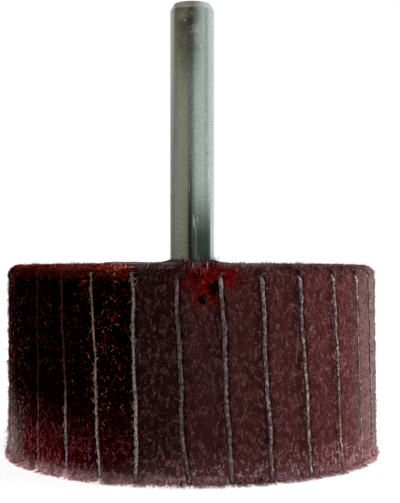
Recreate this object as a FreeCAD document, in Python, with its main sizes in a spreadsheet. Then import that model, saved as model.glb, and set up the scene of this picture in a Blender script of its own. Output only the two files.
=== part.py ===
"""Interleaf flap wheel on a 6 mm spindle: nonwoven web flaps with abrasive cloth flaps between them.

The flaps stand round the axis like the pages of a closed ring. Each kind is cut to one pattern, leans a
few degrees, and has hooks at its root. A spool of poured resin fills the hooks, grips the knurled foot of
the spindle and holds the pack together. The wheel is then turned round on its own spindle.
The frame has +Z up the spindle and its origin at the centre of the lower face, on which the wheel rests.
"""

import FreeCAD, Part
import os
import re
import Sketcher

OUT_FOLDER = "parts"

# The driving dimensions: millimetres, degrees and plain counts.
SIZES = {
    "flap_count": 30,
    "flap_lean": 3.2,
    "wheel_diameter": 49.4,
    "web_width": 25.4,
    "web_edge_cut": 0.35,
    "rim_round_top": 1.3,
    "rim_round_bottom": 0.5,
    "web_clearance": 0.03,
    "cloth_thickness": 0.6,
    "cloth_top_setback": 1.0,
    "cloth_bottom_setback": 0.2,
    "cloth_corner_cut": 0.5,
    "shank_diameter": 6.0,
    "shank_exposed": 35.55,
    "tip_chamfer_depth": 0.5,
    "tip_chamfer_length": 0.95,
    "seat_diameter": 5.6,
    "foot_height": 0.3,
    "foot_chamfer": 0.3,
    "knurl_teeth": 16,
    "knurl_depth": 0.25,
    "knurl_margin": 4.0,
    "lock_groove_width": 2.0,
    "lock_groove_depth": 0.4,
    "drum_diameter": 14.0,
    "hook_width": 3.0,
    "rib_width": 2.0,
    "rib_depth": 2.0,
    "flange_depth": 3.0,
    "core_underside": 0.5,
    "core_lip": 0.25,
    "meniscus_width": 1.8,
    "meniscus_height": 0.6,
    "meniscus_radius": 2.4,
    "seat_clearance": 0.05,
}

# Sizes that follow from the driving ones, in the sheet's own words.
WORKED_OUT = {
    "wheel_radius": "=wheel_diameter / 2",
    "shank_radius": "=shank_diameter / 2",
    "seat_radius": "=seat_diameter / 2",
    "drum_radius": "=drum_diameter / 2",
    "rib_radius": "=drum_radius + hook_width",
    "core_radius": "=rib_radius + rib_width",
    "half_width": "=web_width / 2",
    "overall_height": "=web_width + shank_exposed",
    "resin_top": "=web_width + meniscus_height",
    "half_pitch": "=180 / flap_count",
    "half_slot": "=cloth_thickness / 2 + web_clearance",
    "flap_drift": "=rib_radius * tan(half_pitch) + half_width * tan(flap_lean)",
    "hook_edge": "=sqrt((rib_radius - seat_clearance) ^ 2 - flap_drift ^ 2)",
    "blank_inner": "=drum_radius - 0.4",
    "blank_outer": "=wheel_radius + web_edge_cut",
}

doc = FreeCAD.newDocument("InterleafFlapWheel")


# The sheet of sizes.
sheet = doc.addObject("Spreadsheet::Sheet", "Sizes")
for row, (alias, size) in enumerate({**SIZES, **WORKED_OUT}.items(), start=1):
    sheet.set(f"A{row}", alias)
    sheet.set(f"B{row}", str(size))
    sheet.setAlias(f"B{row}", alias)
doc.recompute()


def vector(x, y, z=0):
    return FreeCAD.Vector(x, y, z)


def value(formula):
    """The number that a formula in the sheet's words comes to."""
    return float(sheet.evalExpression(str(formula)))


def bind(thing, name, formula):
    """Ties a property or a sketch dimension to a formula in the sheet's words."""
    aliases = "|".join([*SIZES, *WORKED_OUT])
    thing.setExpression(name, re.sub(rf"\b({aliases})\b", r"Sizes.\1", str(formula)))


def new_body(label):
    body = doc.addObject("PartDesign::Body", label)
    body.Label = label
    return body


def new_sketch(body, name, plane):
    """A sketch on one of the body's own origin planes."""
    sketch = body.newObject("Sketcher::SketchObject", name)
    origin_plane = next(f for f in body.Origin.OriginFeatures if f.Role == plane)
    sketch.AttachmentSupport = [(origin_plane, "")]
    sketch.MapMode = "FlatFace"
    return sketch


def arc_between(start, end, radius, side):
    """An arc from start to end whose centre lies to the left of the chord for side 1, to the right for -1."""
    chord = end - start
    reach = (radius**2 - (chord.Length / 2) ** 2) ** 0.5
    centre = (start + end) / 2 + vector(-chord.y, chord.x).normalize() * reach * side
    angles = [(p - centre).getAngle(vector(1, 0)) * (1 if p.y >= centre.y else -1) for p in (start, end)]
    if side < 0:
        angles.reverse()
    return Part.ArcOfCircle(Part.Circle(centre, vector(0, 0, 1), radius), *angles)


def draw(sketch, corners, arcs=None):
    """Draws a closed outline and ties every corner to the sheet.

    corners holds a pair of formulas for each corner. arcs gives, for the corner that a side starts from,
    the formula of its radius and the side of the chord on which its centre lies.
    """
    arcs = arcs or {}
    points = [vector(value(x), value(y)) for x, y in corners]
    sides = []
    for i, start in enumerate(points):
        end = points[(i + 1) % len(points)]
        if i in arcs:
            radius, side = arcs[i]
            n = sketch.addGeometry(arc_between(start, end, value(radius), side))
            sides.append((n, 1, 2) if side > 0 else (n, 2, 1))
            limit = sketch.addConstraint(Sketcher.Constraint("Radius", n, value(radius)))
            bind(sketch, f"Constraints[{limit}]", radius)
        else:
            sides.append((sketch.addGeometry(Part.LineSegment(start, end)), 1, 2))
    for i, (x, y) in enumerate(corners):
        line, first, _ = sides[i]
        before, _, last = sides[i - 1]
        sketch.addConstraint(Sketcher.Constraint("Coincident", before, last, line, first))
        for way, axis, formula, size in (("DistanceX", -2, x, points[i].x), ("DistanceY", -1, y, points[i].y)):
            if formula == 0:
                sketch.addConstraint(Sketcher.Constraint("PointOnObject", line, first, axis))
            else:
                limit = sketch.addConstraint(Sketcher.Constraint(way, -1, 1, line, first, size))
                bind(sketch, f"Constraints[{limit}]", formula)


def must_remove(cut):
    """Stops the build if a cut took nothing away."""
    before = cut.BaseFeature.Shape.Volume
    if not 0 < cut.Shape.Volume < before:
        raise RuntimeError(f"{cut.Label} cut nothing from {before:.1f} mm3")


def turned(body, name, feature, corners, arcs=None):
    """Turns an outline about the wheel's axis, as a Revolution or a Groove.

    The outline lies in the YZ plane, so that the seam of its round faces misses the flaps, which are
    modelled on the X axis.
    """
    sketch = new_sketch(body, name + "_outline", "YZ_Plane")
    draw(sketch, corners, arcs)
    turn = body.newObject("PartDesign::" + feature, name)
    turn.Profile = sketch
    turn.ReferenceAxis = (sketch, ["V_Axis"])
    turn.Angle = 360
    doc.recompute()
    if feature == "Groove":
        must_remove(turn)
    return turn


# The spindle: a ground steel pin, chamfered at the tip. Where the resin grips it, it is turned down to a
# seat, so that its shoulder stops it in the resin, and the seat is knurled and grooved.
def make_spindle():
    body = new_body("spindle")
    low, high = "half_width - lock_groove_width / 2", "half_width + lock_groove_width / 2"
    groove_radius = "seat_radius - lock_groove_depth"
    turned(body, "pin", "Revolution", [
        (0, "foot_height"),
        ("seat_radius - foot_chamfer", "foot_height"),
        ("seat_radius", "foot_height + foot_chamfer"),
        ("seat_radius", low),
        (groove_radius, low),
        (groove_radius, high),
        ("seat_radius", high),
        ("seat_radius", "resin_top"),
        ("shank_radius", "resin_top"),
        ("shank_radius", "overall_height - tip_chamfer_length"),
        ("shank_radius - tip_chamfer_depth", "overall_height"),
        (0, "overall_height"),
    ])
    notch = new_sketch(body, "knurl_notch", "XY_Plane")
    bind(notch, "AttachmentOffset.Base.z", "knurl_margin")
    mouth = "seat_radius + knurl_depth / 5"
    flare = "knurl_depth * 6 / 5"
    draw(notch, [("seat_radius - knurl_depth", 0), (mouth, flare), (mouth, f"-{flare}")])
    pocket = body.newObject("PartDesign::Pocket", "knurl_groove")
    pocket.Profile = notch
    pocket.Reversed = True
    bind(pocket, "Length", "web_width - 2 * knurl_margin")
    doc.recompute()
    must_remove(pocket)
    knurl = body.newObject("PartDesign::PolarPattern", "knurl")
    knurl.Originals = [pocket]
    knurl.Axis = (notch, ["N_Axis"])
    knurl.Angle = 360
    bind(knurl, "Occurrences", "knurl_teeth")
    body.Tip = knurl
    return body


# The resin core: a poured spool whose two flanges and ribs fill the hooks at the roots of the flaps.
def core_side(gap, hook_edge):
    """The spool's side, from its lower flange to its upper one, with the solid behind it grown by gap.

    Each flange has a rib round its edge, and the hooks of the flaps stand inside it, out to hook_edge.
    """
    flange, rib = f"flange_depth + {gap}", f"flange_depth + rib_depth + {gap}"
    lower = [
        (f"core_radius + {gap}", rib),
        (hook_edge, rib),
        (hook_edge, flange),
        (f"drum_radius + {gap}", flange),
    ]
    return lower + [(x, f"web_width - ({z})") for x, z in reversed(lower)]


def make_core(spindle):
    blank = new_body("core_blank")
    corners = [
        (0, "core_underside"),
        ("core_radius", "core_underside"),
        *core_side(0, "rib_radius"),
        ("core_radius", "web_width + core_lip"),
        ("shank_radius + meniscus_width", "web_width"),
        ("shank_radius", "resin_top"),
        (0, "resin_top"),
    ]
    meniscus = len(corners) - 3
    turned(blank, "spool", "Revolution", corners, {meniscus: ("meniscus_radius", -1)})
    core = doc.addObject("Part::Cut", "resin_core")
    core.Label = "resin_core"
    core.Base = blank
    core.Tool = spindle
    return core


# The flaps. Both kinds are cut to one pattern in the XZ plane and then leaned sideways, about mid width.
def flap_pattern(low, high, rim):
    """The outline of a flap between the heights low and high, hooked at the root, with its corners at the rim."""
    root_edge = "core_radius + seat_clearance"
    return [(root_edge, low), *core_side("seat_clearance", "hook_edge"), (root_edge, high), *rim]


def make_web_flap():
    """A nonwoven flap: a wedge of fibre web that fills the space between two cloth flaps."""
    body = new_body("nonwoven_flap_01")
    section = new_sketch(body, "web_section", "XY_Plane")
    bind(section, "AttachmentOffset.Base.z", "half_width")
    edge = "(wheel_radius - web_edge_cut)"
    flank = "{0} * tan(half_pitch) - half_slot / cos(half_pitch)"
    left_side = [
        ("blank_inner", flank.format("blank_inner")),
        (edge, flank.format(edge)),
        ("blank_outer", flank.format(edge) + " - 2 * web_edge_cut"),
    ]
    draw(section, left_side + [(x, f"-({y})") for x, y in reversed(left_side)])
    slab = body.newObject("PartDesign::Pad", "web_slab")
    slab.Profile = section
    slab.SideType = "Symmetric"
    slab.UseCustomVector = True
    slab.Direction = vector(0, 0, 1)
    slab.AlongSketchNormal = True
    bind(slab, "Direction.y", "-tan(flap_lean)")
    bind(slab, "Length", "web_width")

    waste = new_sketch(body, "web_waste", "XZ_Plane")
    pattern = flap_pattern(0, "web_width", [
        ("wheel_radius - rim_round_top", "web_width"),
        ("wheel_radius", "web_width - rim_round_top"),
        ("wheel_radius", "rim_round_bottom"),
        ("wheel_radius - rim_round_bottom", 0),
    ])
    first_round = len(pattern) - 4
    draw(waste, pattern, {
        first_round: ("rim_round_top", -1),
        first_round + 2: ("rim_round_bottom", -1),
    })
    draw(waste, [(0, -1), ("blank_outer + 1", -1), ("blank_outer + 1", "web_width + 1"), (0, "web_width + 1")])
    trim = body.newObject("PartDesign::Pocket", "web_trim")
    trim.Profile = waste
    trim.SideType = "Symmetric"
    bind(trim, "Length", "wheel_diameter")
    doc.recompute()
    must_remove(trim)
    return body


def make_cloth_flap():
    """An abrasive flap: a flat strip of coated cloth, a little narrower than the web."""
    body = new_body("abrasive_flap_01")
    pattern = new_sketch(body, "cloth_pattern", "XZ_Plane")
    pattern.AttachmentOffset.Rotation = FreeCAD.Rotation(vector(1, 0), 1)
    bind(pattern, "AttachmentOffset.Rotation.Angle", "flap_lean")
    bind(pattern, "AttachmentOffset.Base.y", "half_width")
    low, high = "cloth_bottom_setback", "web_width - cloth_top_setback"
    corners = flap_pattern(low, high, [
        ("wheel_radius - cloth_corner_cut", high),
        ("wheel_radius", f"{high} - cloth_corner_cut"),
        ("wheel_radius", low),
    ])
    draw(pattern, [(x, f"({z} - half_width) / cos(flap_lean)") for x, z in corners])
    strip = body.newObject("PartDesign::Pad", "cloth_strip")
    strip.Profile = pattern
    strip.SideType = "Symmetric"
    bind(strip, "Length", "cloth_thickness")
    return body


def stand_round(first, kind, start):
    """Copies of the first flap round the axis, one for each pitch, from a start angle in pitches."""
    flaps = [first]
    for n in range(1, int(value("flap_count"))):
        body = new_body(f"{kind}_{n + 1:02d}")
        copy = body.newObject("PartDesign::FeatureBase", f"{kind}_{n + 1:02d}_copy")
        copy.BaseFeature = first
        body.Tip = copy
        flaps.append(body)
    for n, body in enumerate(flaps):
        body.Placement.Rotation = FreeCAD.Rotation(vector(0, 0, 1), 1)
        bind(body, "Placement.Rotation.Angle", f"({n} + {start}) * 360 / flap_count")
    return flaps


def pair_up(flaps, kind):
    """Groups each flap with the one across the wheel. The last stands alone where the count is odd."""
    half = (len(flaps) + 1) // 2
    pairs = []
    for n in range(half):
        pair = doc.addObject("Part::Compound", f"{kind}_pair_{n + 1:02d}")
        pair.Label = f"{kind}_pair_{n + 1:02d}"
        pair.Links = flaps[n::half]
        pairs.append(pair)
    return pairs


spindle = make_spindle()
core = make_core(spindle)
web_flaps = stand_round(make_web_flap(), "nonwoven_flap", 0)
cloth_flaps = stand_round(make_cloth_flap(), "abrasive_flap", 0.5)
nodes = [spindle, core, *web_flaps, *pair_up(cloth_flaps, "abrasive_flap")]
doc.recompute()


# Nothing is written unless every step of the model came out whole.
for thing in doc.Objects:
    if "Invalid" in thing.State or "Error" in thing.State:
        raise RuntimeError(f"{thing.Label} failed: {thing.State}")
for node in nodes:
    if node.Shape.isNull() or not node.Shape.isValid():
        raise RuntimeError(f"{node.Label} has no valid shape")

os.makedirs(OUT_FOLDER, exist_ok=True)
for node in nodes:
    node.Shape.exportStep(os.path.join(OUT_FOLDER, node.Label + ".step"))
print(f"{len(nodes)} sub-parts, {sum(node.Shape.Volume for node in nodes):.1f} mm3")
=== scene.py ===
"""Interleaf flap wheel on a steel spindle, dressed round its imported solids. All lengths are in metres."""

import math
import bpy
import numpy as np
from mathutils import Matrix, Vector, noise


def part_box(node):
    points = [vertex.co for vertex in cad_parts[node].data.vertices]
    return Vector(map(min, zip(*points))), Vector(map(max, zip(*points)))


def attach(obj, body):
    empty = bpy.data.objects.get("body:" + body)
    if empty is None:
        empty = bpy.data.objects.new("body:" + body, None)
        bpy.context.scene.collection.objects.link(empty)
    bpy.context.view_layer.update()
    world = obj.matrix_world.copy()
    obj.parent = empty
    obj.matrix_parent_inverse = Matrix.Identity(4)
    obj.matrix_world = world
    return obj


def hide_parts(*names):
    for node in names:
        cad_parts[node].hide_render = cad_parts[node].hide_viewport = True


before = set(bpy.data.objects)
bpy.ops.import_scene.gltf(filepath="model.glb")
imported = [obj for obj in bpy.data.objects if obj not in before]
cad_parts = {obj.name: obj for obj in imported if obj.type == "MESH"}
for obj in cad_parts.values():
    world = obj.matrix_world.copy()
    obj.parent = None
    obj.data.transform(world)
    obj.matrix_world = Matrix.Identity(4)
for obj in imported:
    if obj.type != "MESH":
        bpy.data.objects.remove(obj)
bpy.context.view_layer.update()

MM = 0.001


# The spindle
# A pin of ground steel, turned to a chamfer at the tip. The resin holds its foot, and the rest stands out
# of the wheel to be gripped in a chuck, so it is scuffed, nicked near the tip and a little tarnished. The
# tarnished part on the left is partly a painted reflection, and the left edge has painted shade toward the
# foot.
SHANK_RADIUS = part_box("spindle")[1].y
SHANK_FOOT, SHANK_TIP = (corner.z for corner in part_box("spindle"))
TIP_CHAMFER_DEPTH = 0.5 * MM
TIP_CHAMFER_LENGTH = 0.95 * MM
TIP_EASE = 0.12 * MM
SHANK_TURNS = 128
STEEL_CLEAN = (0.50, 0.55, 0.53, 1)
STEEL_TARNISH_AND_REFLECTION = (0.30, 0.27, 0.19, 1)
STEEL_SCALE = (0.13, 0.125, 0.11, 1)
STEEL_PAINTED_EDGE_SHADE = (0.20, 0.20, 0.17, 1)
STEEL_OILED = (0.058, 0.080, 0.062, 1)
STEEL_BRIGHT = (0.75, 0.78, 0.76, 1)


def eased(corners, radius, steps=4):
    """The outline with each inner corner rounded off over the given length."""
    points = [corners[0]]
    for before, corner, after in zip(corners, corners[1:], corners[2:]):
        corner = Vector(corner)
        start = corner + (Vector(before) - corner).normalized() * radius
        end = corner + (Vector(after) - corner).normalized() * radius
        for i in range(steps + 1):
            u = i / steps
            points.append(tuple(start * (1 - u) ** 2 + corner * 2 * u * (1 - u) + end * u**2))
    return points + [corners[-1]]


def new_piece(name, points, faces, materials):
    """A mesh object made from points and faces, smooth shaded, with its materials."""
    mesh = bpy.data.meshes.new(name)
    mesh.from_pydata(points, [], faces)
    mesh.polygons.foreach_set("use_smooth", [True] * len(mesh.polygons))
    for material in materials:
        mesh.materials.append(material)
    piece = bpy.data.objects.new(name, mesh)
    bpy.context.scene.collection.objects.link(piece)
    return piece


def ring_solid(rings, low_point, high_point):
    """Points and faces of a closed solid through rings of equal count, each capped to a point."""
    count = len(rings[0])
    points = [p for ring in rings for p in ring] + [low_point, high_point]
    faces = []
    for i in range(count):
        j = (i + 1) % count
        for row in range(len(rings) - 1):
            a, b = row * count, (row + 1) * count
            faces.append((a + i, a + j, b + j, b + i))
        faces.append((len(points) - 2, j, i))
        top = (len(rings) - 1) * count
        faces.append((len(points) - 1, top + i, top + j))
    return points, faces


def node(tree, kind, inputs=None, **settings):
    """Adds a shader node, sets it up, and fills or links its inputs."""
    made = tree.nodes.new("ShaderNode" + kind)
    for name, setting in settings.items():
        setattr(made, name, setting)
    for name, given in (inputs or {}).items():
        if isinstance(given, bpy.types.NodeSocket):
            tree.links.new(given, made.inputs[name])
        else:
            made.inputs[name].default_value = given
    return made


def mixed(tree, factor, a, b):
    """The colour between a and b."""
    mix = node(tree, "Mix", {"Factor": factor}, data_type="RGBA")
    for socket, given in ((mix.inputs[6], a), (mix.inputs[7], b)):
        if isinstance(given, bpy.types.NodeSocket):
            tree.links.new(given, socket)
        else:
            socket.default_value = given
    return mix.outputs[2]


def ranged(tree, value, low, high, to_low=0.0, to_high=1.0):
    """The value stretched smoothly from one range to another, and held at its ends."""
    inputs = {"Value": value, "From Min": low, "From Max": high, "To Min": to_low, "To Max": to_high}
    return node(tree, "MapRange", inputs, interpolation_type="SMOOTHSTEP").outputs["Result"]


def maths(tree, operation, *values):
    """The outcome of one sum on up to three values."""
    return node(tree, "Math", dict(enumerate(values)), operation=operation).outputs[0]


def product(tree, a, b):
    """One value times another."""
    return maths(tree, "MULTIPLY", a, b)


def axes_of(tree, place):
    """The X, Y and Z of a place."""
    return node(tree, "SeparateXYZ", {"Vector": place}).outputs


def noise_over(tree, place, scale, detail, roughness=0.5):
    """A smooth uneven value from about 0 to 1."""
    inputs = {"Vector": place, "Scale": scale, "Detail": detail, "Roughness": roughness}
    return node(tree, "TexNoise", inputs).outputs["Fac"]


def scaled_place(tree, place, scale, rotation=(0, 0, 0)):
    """A place turned, and squeezed or stretched along its axes."""
    return node(tree, "Mapping", {"Vector": place, "Rotation": rotation, "Scale": scale}).outputs["Vector"]


def new_material(name):
    """An empty material, its node tree, its Principled BSDF and the place that is shaded."""
    material = bpy.data.materials.new(name)
    material.use_nodes = True
    tree = material.node_tree
    return material, tree, tree.nodes["Principled BSDF"], node(tree, "TexCoord").outputs["Object"]


def new_group(name, sockets):
    """An empty shader group with a Mask output and the inputs given as name and default."""
    tree = bpy.data.node_groups.new(name, "ShaderNodeTree")
    for label, default in sockets.items():
        kind = "NodeSocketVector" if default is None else "NodeSocketFloat"
        socket = tree.interface.new_socket(name=label, in_out="INPUT", socket_type=kind)
        if default is not None:
            socket.default_value = default
    tree.interface.new_socket(name="Mask", in_out="OUTPUT", socket_type="NodeSocketFloat")
    given, out = tree.nodes.new("NodeGroupInput"), tree.nodes.new("NodeGroupOutput")
    return tree, given.outputs, out.inputs["Mask"]


def make_clouds():
    """Soft patches. Share is how much of the surface they cover, from 0 to 1."""
    sockets = {"Vector": None, "Scale": 100.0, "Share": 0.5, "Softness": 0.15}
    tree, given, out = new_group("soft_clouds", sockets)
    level = node(tree, "MapRange", {"Value": given["Share"], "To Min": 0.75, "To Max": 0.25}).outputs[0]
    low = maths(tree, "SUBTRACT", level, given["Softness"])
    high = maths(tree, "ADD", level, given["Softness"])
    field = noise_over(tree, given["Vector"], given["Scale"], 4.0, 0.6)
    tree.links.new(ranged(tree, field, low, high), out)
    return tree


def make_specks():
    """Fine separate grains. Size is the share of its cell that a grain may fill."""
    tree, given, out = new_group("fine_specks", {"Vector": None, "Scale": 1000.0, "Size": 0.3, "Share": 0.5})
    cells = node(tree, "TexVoronoi", {"Vector": given["Vector"], "Scale": given["Scale"]}).outputs
    near = maths(tree, "LESS_THAN", cells["Distance"], given["Size"])
    chance = node(tree, "SeparateColor", {"Color": cells["Color"]}).outputs["Red"]
    tree.links.new(product(tree, near, maths(tree, "LESS_THAN", chance, given["Share"])), out)
    return tree


CLOUDS = make_clouds()
SPECKS = make_specks()


def effect(tree, group, vector, **inputs):
    """The mask that a shared effect gives with these values."""
    placed = node(tree, "Group", node_tree=group)
    tree.links.new(vector, placed.inputs["Vector"])
    for name, given in inputs.items():
        placed.inputs[name.capitalize()].default_value = given
    return placed.outputs["Mask"]


def bumped(tree, shader, height, strength, distance):
    """Raises the shader's surface by a height field."""
    bump = node(tree, "Bump", {"Height": height, "Strength": strength, "Distance": distance})
    tree.links.new(bump.outputs["Normal"], shader.inputs["Normal"])


def make_steel():
    """Ground steel, tarnished on the left, scaled near the tip, oiled at the foot and scratched.

    The tarnished part on the left is partly a painted reflection, and the left edge has painted shade
    toward the foot.
    """
    material, tree, shader, place = new_material("ground_steel")
    x, _, z = axes_of(tree, place)
    # Tarnish on the left, partly real and partly a painted reflected band.
    drawn_out = scaled_place(tree, place, (1, 1, 0.12))
    tarnish_and_reflection = effect(tree, CLOUDS, drawn_out, scale=260.0, share=0.5, softness=0.2)
    tarnish_and_reflection = product(tree, tarnish_and_reflection, ranged(tree, x, 0.6 * MM, -1.2 * MM))
    colour = mixed(tree, tarnish_and_reflection, STEEL_CLEAN, STEEL_TARNISH_AND_REFLECTION)
    # Scale in blotches near the tip, between the two edges.
    blotches = effect(tree, CLOUDS, place, scale=420.0, share=0.75, softness=0.25)
    blotches = product(tree, ranged(tree, z, 47 * MM, 58 * MM), blotches)
    blotches = product(tree, blotches, ranged(tree, x, -2.7 * MM, -1.2 * MM))
    blotches = product(tree, blotches, ranged(tree, x, 2.1 * MM, 0.2 * MM))
    colour = mixed(tree, blotches, colour, STEEL_SCALE)
    # Painted shade: the left edge of the steel darkens toward the foot.
    painted_edge_shade = mixed(tree, ranged(tree, z, 62 * MM, 28 * MM), STEEL_CLEAN, STEEL_PAINTED_EDGE_SHADE)
    colour = mixed(tree, ranged(tree, x, -2.1 * MM, -2.6 * MM), colour, painted_edge_shade)
    # Oil, in streaks at the foot and in one line that runs further up.
    drawn_out = scaled_place(tree, place, (1, 1, 0.05))
    streaks = effect(tree, CLOUDS, drawn_out, scale=620.0, share=0.70, softness=0.12)
    streaks = product(tree, streaks, ranged(tree, z, 37.5 * MM, 28.5 * MM))
    sides = product(tree, ranged(tree, x, -0.7 * MM, -0.3 * MM), ranged(tree, x, 2.7 * MM, 2.4 * MM))
    from_line = maths(tree, "ABSOLUTE", maths(tree, "ADD", x, 0.12 * MM))
    line = product(tree, ranged(tree, from_line, 0.42 * MM, 0.12 * MM), ranged(tree, z, 43 * MM, 30 * MM))
    oiled = maths(tree, "MAXIMUM", product(tree, streaks, sides), line)
    colour = mixed(tree, oiled, colour, STEEL_OILED)
    slanted = scaled_place(tree, place, (5200, 5200, 320), (0, 0.7, 0.3))
    scratches = ranged(tree, noise_over(tree, slanted, 1.0, 1.0), 0.70, 0.78)
    pits = effect(tree, SPECKS, place, scale=2400.0, size=0.24, share=0.07)
    pits = product(tree, pits, ranged(tree, z, 36 * MM, 55 * MM, 0.2, 1.0))
    marks = maths(tree, "MAXIMUM", scratches, pits)
    tree.links.new(mixed(tree, marks, colour, STEEL_BRIGHT), shader.inputs["Base Color"])
    shader.inputs["Metallic"].default_value = 1.0
    grind = noise_over(tree, scaled_place(tree, place, (1200, 1200, 5000)), 1.0, 3.0)
    tree.links.new(ranged(tree, grind, 0.3, 0.7, 0.22, 0.38), shader.inputs["Roughness"])
    height = maths(tree, "ADD", noise_over(tree, place, 3600.0, 3.0), marks)
    bumped(tree, shader, height, 0.6, 0.03 * MM)
    return material


def at_angle(radius, angle, height):
    """The point at a radius, an angle round the wheel and a height."""
    return radius * math.cos(angle), radius * math.sin(angle), height


spindle_outline = eased([
    (0, SHANK_FOOT),
    (SHANK_RADIUS - 0.3 * MM, SHANK_FOOT),
    (SHANK_RADIUS, SHANK_FOOT + 0.3 * MM),
    (SHANK_RADIUS, SHANK_TIP - TIP_CHAMFER_LENGTH),
    (SHANK_RADIUS - TIP_CHAMFER_DEPTH, SHANK_TIP),
    (0, SHANK_TIP),
], TIP_EASE)
angles = [2 * math.pi * i / SHANK_TURNS for i in range(SHANK_TURNS)]
rings = [[at_angle(radius, a, z) for a in angles] for radius, z in spindle_outline[1:-1]]
spindle = new_piece("spindle_pin", *ring_solid(rings, (0, 0, SHANK_FOOT), (0, 0, SHANK_TIP)), [make_steel()])
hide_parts("spindle")
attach(spindle, "root")


# The resin core
# Epoxy resin, poured round the foot of the spindle and into the roots of the flaps. It has crept up the
# steel, dished as it shrank, and run a little way out over the flaps, so its rim is uneven.
CORE_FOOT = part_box("resin_core")[0].z
CORE_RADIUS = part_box("resin_core")[1].y
WEB_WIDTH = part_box("nonwoven_flap_01")[1].z
CORE_LIP = 0.28 * MM
CORE_CREEP = 0.65 * MM
CORE_CREEP_WIDTH = 1.5 * MM
CORE_SPREAD = 0.35 * MM
CORE_BANK_START = 7 * MM
CORE_RIPPLE = 0.06 * MM
CORE_RIPPLE_SCALE = 420
CORE_UNDERSIDE_WAVE = 0.05 * MM
CORE_TURNS = 144
CORE_ROWS = 26
RESIN_PALE = (0.15, 0.135, 0.11, 1)
RESIN_DARK = (0.055, 0.05, 0.042, 1)
RESIN_GRAIN = (0.05, 0.02, 0.018, 1)
RESIN_MAROON = (0.026, 0.010, 0.012, 1)


def wander(angle, scale, seed):
    """A smooth uneven number from about -1 to 1 that comes round to itself with the angle."""
    return noise.noise(Vector((math.cos(angle) * scale, math.sin(angle) * scale, seed)))


def resin_level(radius, angle):
    """How far the resin stands above the web: it banks up to its rim on the left and falls on the right."""
    climb = CORE_CREEP * math.exp(-(radius - SHANK_RADIUS) / CORE_CREEP_WIDTH)
    tilt = 0.1 - (1.3 if math.cos(angle) > 0 else 0.9) * math.cos(angle)
    bank = CORE_LIP * tilt * max(0.0, (radius - CORE_BANK_START) / (CORE_RADIUS - CORE_BANK_START)) ** 2
    ripple = noise.noise(Vector(at_angle(radius, angle, 0)) * CORE_RIPPLE_SCALE)
    return climb + bank + ripple * CORE_RIPPLE


def from_axis(tree, x, y):
    """How far a place is from the wheel's axis."""
    flat = node(tree, "CombineXYZ", {"X": x, "Y": y}).outputs["Vector"]
    return node(tree, "VectorMath", {0: flat}, operation="LENGTH").outputs["Value"]


def make_resin():
    """Mottled resin with grain caught in it and maroon dust over it."""
    material, tree, shader, place = new_material("cast_resin")
    patches = effect(tree, CLOUDS, place, scale=240.0, share=0.5, softness=0.2)
    grains = effect(tree, SPECKS, place, scale=900.0, size=0.3, share=0.22)
    colour = mixed(tree, grains, mixed(tree, patches, RESIN_PALE, RESIN_DARK), RESIN_GRAIN)
    # Maroon dust lies round the shank, on the right and in front.
    x, y, _ = axes_of(tree, place)
    front = product(tree, ranged(tree, y, -4 * MM, -8 * MM), ranged(tree, x, -8 * MM, -4.5 * MM))
    near_shank = ranged(tree, from_axis(tree, x, y), 8 * MM, 4 * MM, 0.0, 0.9)
    for dusty in (near_shank, ranged(tree, x, 1 * MM, 5 * MM, 0.0, 0.9), front):
        colour = mixed(tree, dusty, colour, RESIN_MAROON)
    tree.links.new(colour, shader.inputs["Base Color"])
    tree.links.new(ranged(tree, patches, 0, 1, 0.55, 0.75), shader.inputs["Roughness"])
    shader.inputs["Specular IOR Level"].default_value = 0.08
    height = maths(tree, "ADD", noise_over(tree, place, 900.0, 4.0), grains)
    bumped(tree, shader, height, 0.35, 0.08 * MM)
    return material


angles = [2 * math.pi * i / CORE_TURNS for i in range(CORE_TURNS)]
rings = []
for share, above in ((0.5, 0), (0.97, 0), (1.0, 0.3 * MM)):
    ring = []
    for a in angles:
        level = CORE_FOOT + above + wander(a, 2.5, share) * CORE_UNDERSIDE_WAVE
        ring.append(at_angle(share * CORE_RADIUS, a, level))
    rings.append(ring)
rings.append([at_angle(CORE_RADIUS, a, WEB_WIDTH - 0.4 * MM) for a in angles])
for row in range(CORE_ROWS):
    ring = []
    for a in angles:
        edge = CORE_RADIUS + CORE_SPREAD * (0.8 + wander(a, 6, 1.5) + 0.6 * wander(a, 19, 4.5))
        inner = SHANK_RADIUS - 0.1 * MM
        radius = edge + (inner - edge) * (row / (CORE_ROWS - 1)) ** 0.9
        level = -0.2 * MM if row == 0 else resin_level(radius, a)
        ring.append(at_angle(radius, a, WEB_WIDTH + level))
    rings.append(ring)
core_mesh = ring_solid(rings, (0, 0, CORE_FOOT), (0, 0, WEB_WIDTH + CORE_CREEP))
core = new_piece("resin_core_cast", *core_mesh, [make_resin()])
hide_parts("resin_core")
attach(core, "root")


# The abrasive cloth flaps
# Strips of coated cloth, cut a little narrower than the web. All lean the same way, and hand packing has
# left each a little out of its place. The cut edges show as pale gritty lines, with short threads loose.
FLAP_COUNT = 30
PITCH = 2 * math.pi / FLAP_COUNT
WHEEL_RADIUS = 24.7 * MM
FLAP_LEAN = math.radians(3.2)
CLOTH_THICKNESS = 0.6 * MM
CLOTH_LOW = 0.2 * MM
CLOTH_HIGH = WEB_WIDTH - 1.0 * MM
CLOTH_ROOT = CORE_RADIUS - 0.4 * MM
CLOTH_CORNER = 0.5 * MM
CLOTH_ROWS = 72
CLOTH_THREADS = 110
CLOTH_HOOKS = 7
CLOTH_RIM = WHEEL_RADIUS - 0.08 * MM
CLOTH_RECESS = 0.15 * MM
# The foot of the wheel spreads a little where it stands.
FOOT_FLARE = 0.12 * MM
FOOT_HEIGHT = 2.5 * MM
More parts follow.
